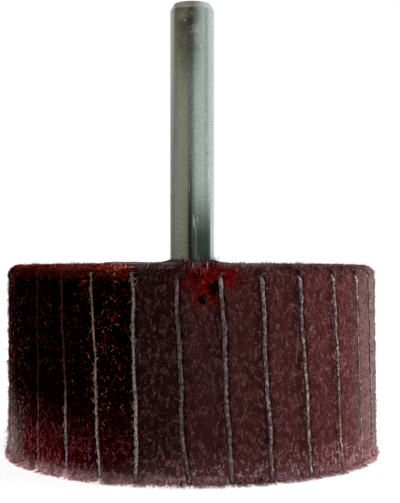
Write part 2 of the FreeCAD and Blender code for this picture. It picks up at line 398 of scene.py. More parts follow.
# The right side of the wheel spreads by this much at the foot, and less higher up.
RIGHT_SPREAD = 0.25 * MM
CLOTH_PALE = (0.155, 0.105, 0.097, 1)
CLOTH_DARK = (0.085, 0.042, 0.038, 1)
CLOTH_GRAIN = (0.33, 0.24, 0.23, 1)
CLOTH_TOP = (0.46, 0.38, 0.36, 1)
CLOTH_FUZZ = (0.050, 0.018, 0.018, 1)
# Painted shade and light on the left: red and brown shade, light toward the middle, bounce light near the
# floor.
CLOTH_PAINTED_SHADE_RED = (0.15, 0.005, 0.002, 1)
CLOTH_PAINTED_SHADE_BROWN = (0.66, 0.42, 0.27, 1)
CLOTH_PAINTED_LIGHT = (0.47, 0.38, 0.35, 1)
CLOTH_PAINTED_LIMB_BOUNCE = (0.28, 0.17, 0.165, 1)
CLOTH_PAINTED_FOOT_BOUNCE = (0.64, 0.50, 0.46, 1)
THREAD_DARK = (0.07, 0.045, 0.04, 1)
THREAD_PALE = (0.25, 0.185, 0.175, 1)
# For the flaps that the photograph shows, from the left: how far each stands out of its place, in degrees
# at the rim, and how far its lower end strays further than its upper one, in millimetres.
FIRST_SEEN = 17
SEEN_SWING = (-1.0, 0.9, 0.05, -0.85, -0.35, 0.0, 0.0, -0.6, -0.6, 0.65, 0.8, -0.4)
SEEN_SKEW = (0.0, -1.1, -0.3, -0.24, -0.75, -0.45, -0.15, 0.03, 0.42, 0.25, 0.2, 0.1)
# How much of each of these flaps' thickness the web leaves in view at the rim.
SEEN_SHOWN = (0.02, 0.06, 0.14, 0.36, 0.6, 0.85, 0.92, 0.92, 0.83, 0.8, 0.82, 0.75)
# The waves in each strip, as their size and how many radians they run through in a metre.
STRIP_WAVES = ((0.08 * MM, 430), (0.04 * MM, 1050), (0.015 * MM, 3100))
# One flap has a kink at its foot.
KINKED = 22
KINK_TOP = 5.0 * MM
KINK_RUN = 3.5 * MM
KINK_SHIFT = 0.5 * MM

rng = np.random.default_rng(7)
swing = rng.uniform(-0.9, 0.9, FLAP_COUNT)
skew = rng.uniform(-0.3, 0.3, FLAP_COUNT)
swing[FIRST_SEEN:FIRST_SEEN + len(SEEN_SWING)] = SEEN_SWING
skew[FIRST_SEEN:FIRST_SEEN + len(SEEN_SKEW)] = SEEN_SKEW
shown = rng.uniform(0.5, 1.0, FLAP_COUNT)
shown[FIRST_SEEN:FIRST_SEEN + len(SEEN_SHOWN)] = SEEN_SHOWN
wave_phase = rng.uniform(0, 2 * math.pi, (FLAP_COUNT, len(STRIP_WAVES)))


def stray(flap, radius, height):
    """How far sideways of its radius a cloth flap stands, counted anticlockwise, as arrays."""
    flap = flap % FLAP_COUNT
    above = height - WEB_WIDTH / 2
    free = np.clip((radius - CORE_RADIUS) / (WHEEL_RADIUS - CORE_RADIUS), 0, 1)
    rim = math.radians(swing[flap]) * WHEEL_RADIUS - skew[flap] * MM * (above / WEB_WIDTH - 0.5)
    for (size, turns), phase in zip(STRIP_WAVES, wave_phase[flap]):
        rim = rim + size * np.sin(height * turns + phase)
    if flap == KINKED:
        rim = rim + KINK_SHIFT * np.clip((KINK_TOP - height) / KINK_RUN, 0, 1)
    return -above * math.tan(FLAP_LEAN) + free * rim


def turned_to(angle, x, y, z):
    """The points of a flap modelled along X, stood at its angle round the wheel."""
    cosine, sine = math.cos(angle), math.sin(angle)
    return np.stack([x * cosine - y * sine, x * sine + y * cosine, z], axis=-1)


def tubes(paths, normals, radii):
    """Points and faces of three-sided threads along the paths, each an array of points."""
    count, length = paths.shape[:2]
    along = np.gradient(paths, axis=1)
    side = np.cross(along, normals)
    side /= np.linalg.norm(side, axis=-1, keepdims=True) + 1e-12
    up = np.cross(side, along)
    up /= np.linalg.norm(up, axis=-1, keepdims=True) + 1e-12
    corners = [paths + (side * math.cos(a) + up * math.sin(a)) * radii[..., None]
               for a in (math.pi / 2, math.pi * 7 / 6, math.pi * 11 / 6)]
    points = np.stack(corners, axis=2).reshape(-1, 3)
    quads = [[3 * row + i, 3 * row + (i + 1) % 3, 3 * row + 3 + (i + 1) % 3, 3 * row + 3 + i]
             for row in range(length - 1) for i in range(3)]
    starts = 3 * length * np.arange(count)[:, None, None]
    sides = (np.array(quads)[None] + starts).reshape(-1, 4)
    ends = np.array([[2, 1, 0], [3 * length - 3, 3 * length - 2, 3 * length - 1]])
    caps = (ends[None] + starts).reshape(-1, 3)
    return points, sides.tolist() + caps.tolist()


def set_values(mesh, name, values):
    """Gives each point a number that its material turns into a shade."""
    layer = mesh.attributes.new(name, "FLOAT", "POINT")
    layer.data.foreach_set("value", np.asarray(values, np.float32))


def carried(tree, name):
    """The number that the mesh carries at each point under a name."""
    return node(tree, "Attribute", attribute_name=name).outputs["Fac"]


def with_painted_left_light(tree, place, colour):
    """The colour with painted shade and light on the left of the wheel, fading out toward the back.

    From the left it goes from red painted shade to brown painted shade and then to painted light, and near
    the floor painted bounce light makes it paler all along.
    """
    x, y, z = axes_of(tree, place)
    left = product(tree, ranged(tree, x, -3 * MM, -5.5 * MM), ranged(tree, y, 12 * MM, -2 * MM))
    # Painted shade, red then brown, gives way to painted light toward the middle, over painted bounce light
    # low down.
    high = mixed(tree, ranged(tree, x, -16 * MM, -10.5 * MM), CLOTH_PAINTED_SHADE_RED, CLOTH_PAINTED_SHADE_BROWN)
    high = mixed(tree, ranged(tree, x, -9.5 * MM, -6.5 * MM), high, CLOTH_PAINTED_LIGHT)
    low = mixed(tree, ranged(tree, x, -19 * MM, -14 * MM), CLOTH_PAINTED_LIMB_BOUNCE, CLOTH_PAINTED_FOOT_BOUNCE)
    return mixed(tree, left, colour, mixed(tree, ranged(tree, z, 7 * MM, 12.5 * MM), low, high))


def make_cloth():
    """The cloth at its cut edge, where pale gritty yarn runs through a darker ground."""
    material, tree, shader, place = new_material("abrasive_cloth")
    patches = effect(tree, CLOUDS, place, scale=500.0, share=0.45, softness=0.2)
    yarn = noise_over(tree, place, 2600.0, 2.0)
    colour = mixed(tree, patches, CLOTH_PALE, CLOTH_DARK)
    colour = mixed(tree, ranged(tree, yarn, 0.42, 0.62), colour, CLOTH_GRAIN)
    z = axes_of(tree, place)["Z"]
    colour = mixed(tree, ranged(tree, z, 21.5 * MM, 24.6 * MM, 0.0, 0.7), colour, CLOTH_TOP)
    fuzz = ranged(tree, noise_over(tree, place, 3400.0, 2.0, 0.7), 0.47, 0.56, 0.0, 0.85)
    # The cut edge takes painted shade and light on the left.
    colour = mixed(tree, fuzz, with_painted_left_light(tree, place, colour), CLOTH_FUZZ)
    tree.links.new(colour, shader.inputs["Base Color"])
    shader.inputs["Roughness"].default_value = 0.85
    shader.inputs["Specular IOR Level"].default_value = 0.2
    bumped(tree, shader, yarn, 0.6, 0.12 * MM)
    return material


def make_thread():
    """The loose threads, each of its own tone."""
    material, tree, shader, place = new_material("cloth_thread")
    colour = mixed(tree, carried(tree, "tone"), THREAD_DARK, THREAD_PALE)
    # The threads take the same painted shade and light on the left.
    tree.links.new(with_painted_left_light(tree, place, colour), shader.inputs["Base Color"])
    shader.inputs["Roughness"].default_value = 0.8
    shader.inputs["Specular IOR Level"].default_value = 0.2
    return material


def right_spread(angle, height):
    """How much further out the rim stands at an angle and a height on the right of the wheel."""
    return RIGHT_SPREAD * max(0.0, math.cos(angle)) ** 3 * (1 - height / WEB_WIDTH)


def cloth_rim(flap):
    """The radius of a strip's cut edge, which lies a little deeper where the web hides more of it."""
    return CLOTH_RIM - CLOTH_RECESS * (1 - min(1.0, shown[flap] / 0.6))


def cloth_strip(flap):
    """Points and faces of one strip of cloth."""
    half, rim = CLOTH_THICKNESS / 2, cloth_rim(flap)
    outline = [(CLOTH_ROOT, half), (16 * MM, half), (20 * MM, half), (23 * MM, half),
               (rim - 1.0 * MM, half), (rim - 0.4 * MM, 0.9 * shown[flap] * half),
               (rim - 0.03 * MM, 0.85 * shown[flap] * half), (rim, 0.65 * shown[flap] * half)]
    across = np.array([(x, -y) for x, y in outline] + outline[::-1])
    heights = np.linspace(CLOTH_LOW, CLOTH_HIGH, CLOTH_ROWS)
    x = np.repeat(across[None, :, 0], CLOTH_ROWS, axis=0)
    y = np.repeat(across[None, :, 1], CLOTH_ROWS, axis=0)
    z = np.repeat(heights[:, None], len(across), axis=1)
    at_rim = (x > rim - 0.5 * MM).astype(float)
    x = x - at_rim * np.clip(z - (CLOTH_HIGH - CLOTH_CORNER), 0, None)
    rough = np.array([noise.noise(Vector((flap * 9.1, a * 2000, b * 2600)))
                      for a, b in zip(y.ravel(), z.ravel())]).reshape(x.shape)
    angle = (flap + 0.5) * PITCH
    x = x + at_rim * (rough * 0.12 * MM + FOOT_FLARE * np.exp(-z / FOOT_HEIGHT) + right_spread(angle, z))
    y = y * (1 + 0.4 * rough)
    points = turned_to(angle, x, y + stray(flap, x, z), z).reshape(-1, 3)
    count = len(across)
    faces = [tuple(range(count))[::-1], tuple(range((CLOTH_ROWS - 1) * count, CLOTH_ROWS * count))]
    for row in range(CLOTH_ROWS - 1):
        low, high = row * count, (row + 1) * count
        faces += [(low + i, low + (i + 1) % count, high + (i + 1) % count, high + i) for i in range(count)]
    return points, faces


def loose_threads(flap, rng):
    """Points, faces and tones of the short threads along the edge of a strip of cloth."""
    steps = np.linspace(0, 1, 4)[None]
    start = rng.uniform(CLOTH_LOW, CLOTH_HIGH, CLOTH_THREADS)[:, None]
    length = rng.uniform(0.2, 0.9, CLOTH_THREADS)[:, None] * MM
    way = rng.normal(0, 0.6, CLOTH_THREADS)[:, None]
    upward = rng.choice([-1, 1], CLOTH_THREADS)[:, None]
    start[:CLOTH_HOOKS] = CLOTH_HIGH - rng.uniform(0, 0.3, CLOTH_HOOKS)[:, None] * MM
    way[:CLOTH_HOOKS] = rng.normal(0.5, 0.5, CLOTH_HOOKS)[:, None]
    upward[:CLOTH_HOOKS] = 1
    z = np.clip(start + steps * length * np.cos(way) * upward, CLOTH_LOW, CLOTH_HIGH + 0.3 * MM)
    y = rng.uniform(-0.28, 0.28, CLOTH_THREADS)[:, None] * MM * shown[flap] + steps * length * np.sin(way)
    x = cloth_rim(flap) + rng.uniform(-0.04, 0.06, CLOTH_THREADS)[:, None] * MM
    angle = (flap + 0.5) * PITCH
    bow = np.sin(steps * math.pi) * rng.uniform(0, 0.1, CLOTH_THREADS)[:, None] * MM
    x = x + bow + right_spread(angle, z)
    paths = turned_to(angle, x, y + stray(flap, x, z), z)
    outward = turned_to(angle, np.ones_like(x), np.zeros_like(x), np.zeros_like(x))
    radii = rng.uniform(0.018, 0.036, CLOTH_THREADS)[:, None] * MM * np.array([[0.7, 1, 1, 0.5]])
    points, faces = tubes(paths, outward, radii)
    return points, faces, np.repeat(rng.random(CLOTH_THREADS), 12)


cloth_material, thread_material = make_cloth(), make_thread()
for number in range(FLAP_COUNT // 2):
    points, faces, tones, kinds = [], [], [], []
    for flap in (number, number + FLAP_COUNT // 2):
        strip, strip_faces = cloth_strip(flap)
        threads, thread_faces, thread_tones = loose_threads(flap, np.random.default_rng(500 + flap))
        for some_points, some_faces, some_tones, kind in (
            (strip, strip_faces, np.zeros(len(strip)), 0), (threads, thread_faces, thread_tones, 1),
        ):
            first = sum(len(p) for p in points)
            points.append(some_points)
            faces += [[first + corner for corner in face] for face in some_faces]
            tones.append(some_tones)
            kinds += [kind] * len(some_faces)
    pair = new_piece(f"abrasive_flap_pair_{number + 1:02d}_cloth", np.concatenate(points).tolist(), faces,
                     [cloth_material, thread_material])
    pair.data.polygons.foreach_set("material_index", kinds)
    set_values(pair.data, "tone", np.concatenate(tones))
    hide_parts(f"abrasive_flap_pair_{number + 1:02d}")
    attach(pair, "root")


# The nonwoven flaps
# Wedges of fibre web bonded with resin and grain, pressed together at the root and open at the rim. The
# turned rim has torn the fibres loose, so the surface is a tangle of short curls over a dark ground.
HALF_SLOT = 0.33 * MM
WEB_LOW = 0.1 * MM
WEB_HIGH = WEB_WIDTH - 0.25 * MM
WEB_RADIUS = WHEEL_RADIUS - 0.15 * MM
RIM_ROUND_TOP = 1.3 * MM
RIM_ROUND_BOTTOM = 0.3 * MM
WEB_ROOT = CORE_RADIUS - 0.2 * MM
WEB_EDGE = 0.7 * MM
WEB_EDGE_DROP = 0.10 * MM
WEB_ROWS = 96
WEB_COLUMNS = 13
WEB_BUMP = 0.10 * MM
FIBRE_STEPS = 3
TUFT_SPREAD = 0.22 * MM
FRINGE_FRONT = 1.15
FRINGE_BEHIND = 0.12
# One flap in front of the spindle is torn, and its fibres stand this much taller at the top.
TORN_FLAP = 23
TORN_HEIGHT = 1.9
TORN_WIDTH = 1.7
LEFT_BULGE = 0.26 * MM
WEB_GROUND = (0.038, 0.009, 0.009, 1)
WEB_GROUND_PALE = (0.062, 0.016, 0.016, 1)
WEB_LINES = (0.150, 0.063, 0.064, 1)
WEB_FRESH = (0.14, 0.001, 0.001, 1)
FIBRE_FRESH = (0.22, 0.003, 0.003, 1)
FIBRE_FRESH_PALE = (0.46, 0.04, 0.04, 1)
FIBRE_FRESH_TOP = (0.05, 0.003, 0.005, 1)
# The colours of painted shade past the middle to the left, and on the ground beside the cloth flaps.
WEB_SHADE = (0.012, 0.002, 0.002, 1)
FIBRE_SHADE = (0.045, 0.010, 0.010, 1)
# Painted highlight on the palest fibres where the light is lower.
FIBRE_PAINTED_HIGHLIGHT = (0.46, 0.39, 0.37, 1)
# Painted shade that darkens the holes.
WEB_HOLE_PAINTED_SHADE = (0.002, 0.0005, 0.0005, 1)
# The places and reaches of the red patches, the holes and the dark smears that the photograph shows.
FRESH_PATCHES = (((4.0 * MM, -24.2 * MM, 26.0 * MM), 4.9 * MM), ((2.2 * MM, -24.5 * MM, 23.6 * MM), 3.4 * MM))
HOLES = (((3.8 * MM, -24.3 * MM, 22.9 * MM), 1.3 * MM), ((2.4 * MM, -24.4 * MM, 21.7 * MM), 0.8 * MM))
SMEAR = (0.028, 0.020, 0.020, 1)
SMEARS = (((12.0 * MM, -21.0 * MM, 26.4 * MM), 2.0 * MM), ((7.5 * MM, -22.9 * MM, 26.4 * MM), 1.8 * MM),
          ((-5.0 * MM, -23.6 * MM, 26.3 * MM), 2.6 * MM))
# Painted shade on the front left, with specks of painted light in it.
DEEP_PAINTED_SHADE = (0.002, 0.0001, 0.0001, 1)
PAINTED_LIT_SPECK = (0.80, 0.020, 0.012, 1)
PAINTED_LIT_SPECK_PALE = (0.95, 0.50, 0.43, 1)
# Painted sheen on the right limb.
RIGHT_PAINTED_SHEEN = (0.30, 0.25, 0.24, 1)
# Painted light at the top of the rim in front on the left.
PAINTED_RIM_LIGHT = (0.24, 0.018, 0.009, 1)
# Painted bounce light at the left foot.
WINE_PAINTED_BOUNCE = (0.040, 0.002, 0.004, 1)
WINE_PAINTED_BOUNCE_PALE = (0.36, 0.066, 0.078, 1)
# Painted glow at the foot of the left limb.
GROUND_PAINTED_LIMB_GLOW = (0.18, 0.13, 0.13, 1)
FIBRE_PAINTED_LIMB_GLOW = (0.66, 0.56, 0.56, 1)
# Painted glows near the floor: pink at the very foot, and one that makes every colour paler.
PAINTED_PINK_GLOW = (0.95, 0.55, 0.58, 1)
GROUND_PAINTED_GLOW = (0.12, 0.040, 0.045, 1)
FIBRE_PAINTED_GLOW = (0.15, 0.050, 0.056, 1)
FIBRE_PAINTED_GLOW_PALE = (0.70, 0.45, 0.46, 1)
FIBRE_SHADES = ((0.0, (0.070, 0.019, 0.020, 1)), (0.4, (0.114, 0.042, 0.044, 1)),
                (0.8, (0.20, 0.110, 0.110, 1)), (1.0, (0.46, 0.38, 0.36, 1)))


def skin_path():
    """Points and outward normals along the skin: under the web, up round the rim and back over it."""
    low, high, rim = WEB_LOW, WEB_HIGH, WEB_RADIUS
    corners = [(WEB_ROOT, low), (rim - RIM_ROUND_BOTTOM, low)]
    for centre_x, centre_z, radius, start in (
        (rim - RIM_ROUND_BOTTOM, low + RIM_ROUND_BOTTOM, RIM_ROUND_BOTTOM, -90),
        (rim - RIM_ROUND_TOP, high - RIM_ROUND_TOP, RIM_ROUND_TOP, 0),
    ):
        for step in range(9):
            a = math.radians(start + 90 * step / 8)
            corners.append((centre_x + radius * math.cos(a), centre_z + radius * math.sin(a)))
    corners = np.array(corners + [(WEB_ROOT, high)])
    run = np.concatenate([[0], np.cumsum(np.linalg.norm(np.diff(corners, axis=0), axis=1))])
    even = np.linspace(0, run[-1], 500)
    x, z = (np.interp(even, run, corners[:, i]) for i in (0, 1))
    forward = np.stack([np.gradient(x), np.gradient(z)], axis=1)
    forward /= np.linalg.norm(forward, axis=1, keepdims=True)
    return even, x, z, forward[:, 1], -forward[:, 0]


SKIN = skin_path()
SKIN_LENGTH = SKIN[0][-1]
UNDERSIDE = WEB_RADIUS - WEB_ROOT
ALL_OVER = (0, SKIN_LENGTH)
BOTTOM_EDGE = (UNDERSIDE + 0.05 * MM, UNDERSIDE + 0.9 * MM)
TOP_EDGE = (SKIN_LENGTH - UNDERSIDE - 0.6 * MM, SKIN_LENGTH - UNDERSIDE + 2 * MM)
ANY_WAY = (0, 2 * math.pi)
DOWNWARD = (math.pi - 0.8, math.pi + 0.8)
# The kinds of loose fibre: how many on each flap and in how many tufts, 0 for none, the stretch of skin,
# the ranges of length, lift and radius in millimetres, whether they stand up, and their headings.
FIBRE_KINDS = (
    (1080, 0, ALL_OVER, (0.25, 1.2), (0.02, 0.22), (0.014, 0.028), False, ANY_WAY),
    (200, 30, ALL_OVER, (0.3, 1.1), (0.15, 0.65), (0.016, 0.028), True, ANY_WAY),
    (300, 26, BOTTOM_EDGE, (0.6, 1.8), (0.5, 1.32), (0.022, 0.040), True, DOWNWARD),
    (170, 14, TOP_EDGE, (0.3, 1.0), (0.2, 0.7), (0.022, 0.040), True, ANY_WAY),
)


def half_thickness(radius, height):
    """Half the room that the web has: between the cloth flaps, or over them up to the next web."""
    over = np.clip((height - CLOTH_HIGH + 0.1 * MM) / (0.4 * MM), 0, 1)
    return radius * math.tan(PITCH / 2) - HALF_SLOT / math.cos(PITCH / 2) * (1 - 0.85 * over)


def on_skin(flap, along, across, height):
    """Points and outward normals of a web flap's skin.

    along runs from 0 to SKIN_LENGTH, across from -1 to 1 between the cloth flaps, and height outwards.
    """
    x, z, out_x, out_z = (np.interp(along, SKIN[0], row) for row in SKIN[1:])
    half = half_thickness(x, z)
    past_edge = np.clip((np.abs(across) * half - (half - WEB_EDGE)) / WEB_EDGE, 0, 1)
    height = height - WEB_EDGE_DROP * (1 - np.sqrt(1 - past_edge**2 * 0.98))
    x, z = x + out_x * height, z + out_z * height
    outer = np.clip((x - 16 * MM) / (8 * MM), 0, 1)
    spread = LEFT_BULGE * max(0.0, -math.cos(flap * PITCH)) ** 3 + right_spread(flap * PITCH, z)
    x = x + outer * (spread + FOOT_FLARE * np.exp(-z / FOOT_HEIGHT))
    pushed = (stray(flap - 1, x, z) * (1 - across) + stray(flap, x, z) * (1 + across)) / 2
    points = turned_to(flap * PITCH, x, across * half + pushed, z)
    return points, turned_to(flap * PITCH, out_x, np.zeros_like(x), out_z)


def painted_gap_shade(across):
    """How much painted shade the web takes beside a cloth flap, from 0 to 1, and more on one side than on the
    other.
    """
    return np.clip((across - 0.4) / 0.5, 0, 1) + 0.5 * np.clip((-across - 0.75) / 0.25, 0, 1)


def web_ground(flap):
    """Points, faces and places across the flap of the solid web under the loose fibres."""
    rows, columns = np.linspace(0, SKIN_LENGTH, WEB_ROWS), np.linspace(-1, 1, WEB_COLUMNS)
    along, across = np.meshgrid(rows, columns, indexing="ij")
    flat, _ = on_skin(flap, along, across, np.zeros_like(along))
    bumps = [noise.fractal(Vector(p) * 900, 0.6, 2.2, 3) for p in flat.reshape(-1, 3)]
    bumps = np.array(bumps).reshape(along.shape)
    points, _ = on_skin(flap, along, across, np.clip(bumps, -1.5, 1) * WEB_BUMP - 0.05 * MM)
    points[..., 2] = np.maximum(points[..., 2], 0.1 * MM)
    faces = []
    for row in range(WEB_ROWS - 1):
        for column in range(WEB_COLUMNS - 1):
            a = row * WEB_COLUMNS + column
            faces.append((a, a + 1, a + WEB_COLUMNS + 1, a + WEB_COLUMNS))
    last = (WEB_ROWS - 1) * WEB_COLUMNS
    left = [row * WEB_COLUMNS for row in range(WEB_ROWS)]
    faces.append(left)
    faces.append([a + WEB_COLUMNS - 1 for a in left][::-1])
    faces.append([*range(WEB_COLUMNS)][::-1] + [last + i for i in range(WEB_COLUMNS)])
    return points.reshape(-1, 3), faces, across.ravel()


def curls(flap, rng, count, tufts, region, length, lift, radius, standing, heading):
    """Loose fibres, strewn over a stretch of a web flap's skin or tufted on it.

    Returns their points and faces, and each point's tone and place across the flap.
    region, length, lift, radius and heading are ranges, and a heading of 0 runs along the skin. Standing
    fibres leave the skin at one end only.
    """
    length, lift, radius = (np.array(limits) * MM for limits in (length, lift, radius))
    start = rng.uniform(*region, 6 * count)
    x, z = (np.interp(start, SKIN[0], row) for row in SKIN[1:3])
    half = half_thickness(x, z)
    kept = np.flatnonzero(rng.random(6 * count) < half / half.max())[:count]
    start, half = start[kept, None], half[kept, None]
    place = rng.uniform(-1.05, 1.05, (count, 1)) * half
    if tufts:
        tuft = np.arange(count) % tufts
        start = start[tuft] + rng.normal(0, TUFT_SPREAD, (count, 1))
        place = place[tuft] + rng.normal(0, TUFT_SPREAD, (count, 1))
        half = half[tuft]
    steps = np.linspace(0, 1, FIBRE_STEPS)[None]
    size = (length[0] + (length[1] - length[0]) * rng.random((count, 1)) ** 2)
    heading = rng.uniform(*heading, (count, 1)) + rng.normal(0, 1.1, (count, 1)) * size / MM * steps
    along = start + np.cumsum(np.cos(heading), axis=1) * size / FIBRE_STEPS
    across = place + np.cumsum(np.sin(heading), axis=1) * size * 0.8 / FIBRE_STEPS
    across = np.clip(across / half, -1.2, 1.2)
    rise = steps**1.5 if standing else np.sin(steps * math.pi)
    if region in (BOTTOM_EDGE, TOP_EDGE):
        rise = rise * (FRINGE_BEHIND + (FRINGE_FRONT - FRINGE_BEHIND) * max(0.0, -math.sin(flap * PITCH)))
    if region == TOP_EDGE and flap == TORN_FLAP:
        rise, radius = rise * TORN_HEIGHT, radius * TORN_WIDTH
    if region == BOTTOM_EDGE:
        along = np.maximum(along, UNDERSIDE + 0.12 * MM)
    height = rng.uniform(-0.1, 0.08, (count, 1)) * MM + rng.uniform(*lift, (count, 1)) * rise
    paths, normals = on_skin(flap, np.clip(along, 0, SKIN_LENGTH), across, height)
    paths[..., 2] = np.maximum(paths[..., 2], 0.05 * MM)
    taper = np.interp(steps, [0, 0.3, 0.7, 1], [0.6, 1, 1, 0.5])
    points, faces = tubes(paths, normals, rng.uniform(*radius, (count, 1)) * taper)
    # Fibres beside a cloth flap are darkened as painted shade.
    tones = rng.beta(1.6, 2.2, count) * (1 - 0.35 * painted_gap_shade(across[:, 0]))
    return points, faces, np.repeat(tones, 3 * FIBRE_STEPS), np.repeat(across[:, 0], 3 * FIBRE_STEPS)


def make_tangle():
    """Curly threads, drawn along the level lines of a noise and broken up by another."""
    sockets = {"Vector": None, "Scale": 1500.0, "Width": 0.03, "Share": 0.6}
    tree, given, out = new_group("fine_tangle", sockets)
    inputs = {"Vector": given["Vector"], "Scale": given["Scale"], "Detail": 1.0, "Distortion": 0.8}
    field = node(tree, "TexNoise", inputs).outputs["Fac"]
    off = maths(tree, "ABSOLUTE", maths(tree, "SUBTRACT", field, 0.5))
    line = {0: 1.0, 1: maths(tree, "DIVIDE", off, given["Width"])}
    line = node(tree, "Math", line, operation="SUBTRACT", use_clamp=True).outputs[0]
    kept = maths(tree, "LESS_THAN", noise_over(tree, given["Vector"], 1900.0, 0.0), given["Share"])
    tree.links.new(product(tree, line, kept), out)
    return tree


TANGLE = make_tangle()


def make_patch():
    """A ragged patch round a place on the web, out to a reach."""
    tree, given, out = new_group("ragged_patch", {"Vector": None, "Place": None, "Reach": 1 * MM})
    away = node(tree, "VectorMath", {0: given["Vector"], 1: given["Place"]}, operation="DISTANCE")
    share = maths(tree, "DIVIDE", away.outputs["Value"], given["Reach"])
    ragged = ranged(tree, noise_over(tree, given["Vector"], 700.0, 6.0, 0.75), 0.3, 0.7)
    tree.links.new(ranged(tree, maths(tree, "ADD", share, ragged), 1.4, 0.9), out)
    return tree


PATCH = make_patch()


def marked(tree, place, colour, layers):
    """The colour under layers of patches, each a strength, a colour, and the patches' places and reaches."""
    for strength, patch_colour, marks in layers:
        for mark_place, mark_reach in marks:
            mask = effect(tree, PATCH, place, place=mark_place, reach=mark_reach)
            colour = mixed(tree, product(tree, mask, strength), colour, patch_colour)
    return colour


def by_place(tree, place, colour, painted_shade, foot, grey, pale):
    """The colour as it changes round the wheel, with light and shade painted into it.

    The front on the left takes painted shade over a foot of painted bounce light, up to a red rim of painted
    light and almost to the limb, with a painted glow at the limb's foot. The right limb takes a painted
    sheen.
    Near the floor a painted glow makes every colour paler, and a pink one lies at the very foot.
    """
    x, y, z = axes_of(tree, place)
    rough, grain = noise_over(tree, place, 900.0, 3.0), noise_over(tree, place, 4200.0, 1.0)
    ragged = maths(tree, "MULTIPLY_ADD", rough, 2.4 * MM, x)
    left = product(tree, ranged(tree, ragged, -3.7 * MM, -5.1 * MM), ranged(tree, y, 12 * MM, -2 * MM))
    front = ranged(tree, y, 2 * MM, -3 * MM)
    # Painted sheen: the right limb turns paler.
    colour = mixed(tree, ranged(tree, ragged, 20.5 * MM, 26 * MM, 0.0, 0.2), colour, RIGHT_PAINTED_SHEEN)
    # The painted shade gives way to the own colour toward the left limb.
    painted_shade = mixed(tree, ranged(tree, ragged, -20.4 * MM, -23.4 * MM), painted_shade, colour)
    # Painted light: the painted shade turns red and lighter at the top of the rim in front.
    rim = product(tree, ranged(tree, z, 23.5 * MM, 25.1 * MM), ranged(tree, grain, 0.40, 0.60, 0.15, 1.0))
    rim = product(tree, rim, product(tree, front, ranged(tree, from_axis(tree, x, y), 22.6 * MM, 24.0 * MM)))
    painted_shade = mixed(tree, rim, painted_shade, PAINTED_RIM_LIGHT)
    # Painted glow at the foot of the left limb.
    foot = mixed(tree, product(tree, front, ranged(tree, ragged, -18.6 * MM, -22.6 * MM)), foot, grey)
    climbing = maths(tree, "MULTIPLY_ADD", grain, 14 * MM, maths(tree, "MULTIPLY_ADD", ragged, 0.05, z))
    above_foot = ranged(tree, climbing, 4.8 * MM, 16.3 * MM)
    # On the front left, painted shade above and painted bounce light at the foot.
    colour = mixed(tree, left, colour, mixed(tree, above_foot, foot, painted_shade))
    # Painted glow near the floor makes every colour paler.
    floor_glow_top = ranged(tree, x, -9 * MM, -3 * MM, 2.4 * MM, 5.0 * MM)
    floor_glow = product(tree, ranged(tree, z, floor_glow_top, 0.1 * MM), ranged(tree, x, 0 * MM, 12 * MM, 0.85, 0.45))
    floor_glow = maths(tree, "MAXIMUM", floor_glow, ranged(tree, z, 1.3 * MM, 0.3 * MM))
    colour = mixed(tree, floor_glow, colour, pale)
    # A pink painted glow at the very foot.
    pink_glow = ranged(tree, x, -21 * MM, -13 * MM, 0.2, 0.75)
    pink_glow = product(tree, pink_glow, ranged(tree, x, 1 * MM, 6.5 * MM, 1.0, 0.22))
    pink_glow = product(tree, pink_glow, ranged(tree, grain, 0.38, 0.58, 0.25, 1.35))
    pink_glow = product(tree, pink_glow, ranged(tree, z, 1.5 * MM, 0.2 * MM))
    return mixed(tree, pink_glow, colour, PAINTED_PINK_GLOW)


def past_middle(tree, place):
    """How far a place is past the middle of the wheel's front to the left, where the light is lower and shade
    is painted.
    """
    return ranged(tree, axes_of(tree, place)["X"], 4 * MM, -4 * MM)


def make_ground():
    """The solid web, with curly lines of fibre drawn over it."""
    material, tree, shader, place = new_material("web_ground")
    patches = effect(tree, CLOUDS, place, scale=600.0, share=0.5, softness=0.25)
    colour = mixed(tree, patches, WEB_GROUND, WEB_GROUND_PALE)
    # Painted shade: the ground darkens past the middle to the left and beside the cloth flaps.
    shaded = maths(tree, "MAXIMUM", past_middle(tree, place), carried(tree, "tone"))
    colour = mixed(tree, ranged(tree, shaded, 0, 1, 0.0, 0.62), colour, WEB_SHADE)
    upright = scaled_place(tree, place, (1, 1, 0.6))
    coarse = effect(tree, TANGLE, upright, scale=1100.0, width=0.03, share=0.56)
    fine = effect(tree, TANGLE, upright, scale=2300.0, width=0.045, share=0.5)
    lines = maths(tree, "MAXIMUM", coarse, fine)
    # Painted light: bounce light at the left foot, a glow at the left limb's foot and a glow near the floor.
    foot, grey = mixed(tree, lines, WINE_PAINTED_BOUNCE, WINE_PAINTED_BOUNCE_PALE), mixed(tree, lines, GROUND_PAINTED_LIMB_GLOW, FIBRE_PAINTED_LIMB_GLOW)
    ground_glow = mixed(tree, lines, GROUND_PAINTED_GLOW, FIBRE_PAINTED_GLOW_PALE)
    colour = by_place(tree, place, mixed(tree, lines, colour, WEB_LINES), DEEP_PAINTED_SHADE, foot, grey, ground_glow)
    fresh = ranged(tree, patches, 0, 1, 0.5, 1.0)
    # The holes are painted dark as shade.
    layers = (fresh, WEB_FRESH, FRESH_PATCHES), (0.9, SMEAR, SMEARS), (0.95, WEB_HOLE_PAINTED_SHADE, HOLES)
    tree.links.new(marked(tree, place, colour, layers), shader.inputs["Base Color"])
    shader.inputs["Specular IOR Level"].default_value = 0.0
    shader.inputs["Roughness"].default_value = 0.9
    bumped(tree, shader, lines, 0.6, 0.08 * MM)
    return material


def ramped(tree, value, stops):
    """The colour at a value from 0 to 1, between stops that give a place and a colour."""
    ramp = node(tree, "ValToRGB", {"Fac": value})
    shades = ramp.color_ramp.elements
    shades[0].position, shades[0].color = stops[0]
    shades[1].position, shades[1].color = stops[-1]
    for position, colour in stops[1:-1]:
        shades.new(position).color = colour
    return ramp.outputs["Color"]


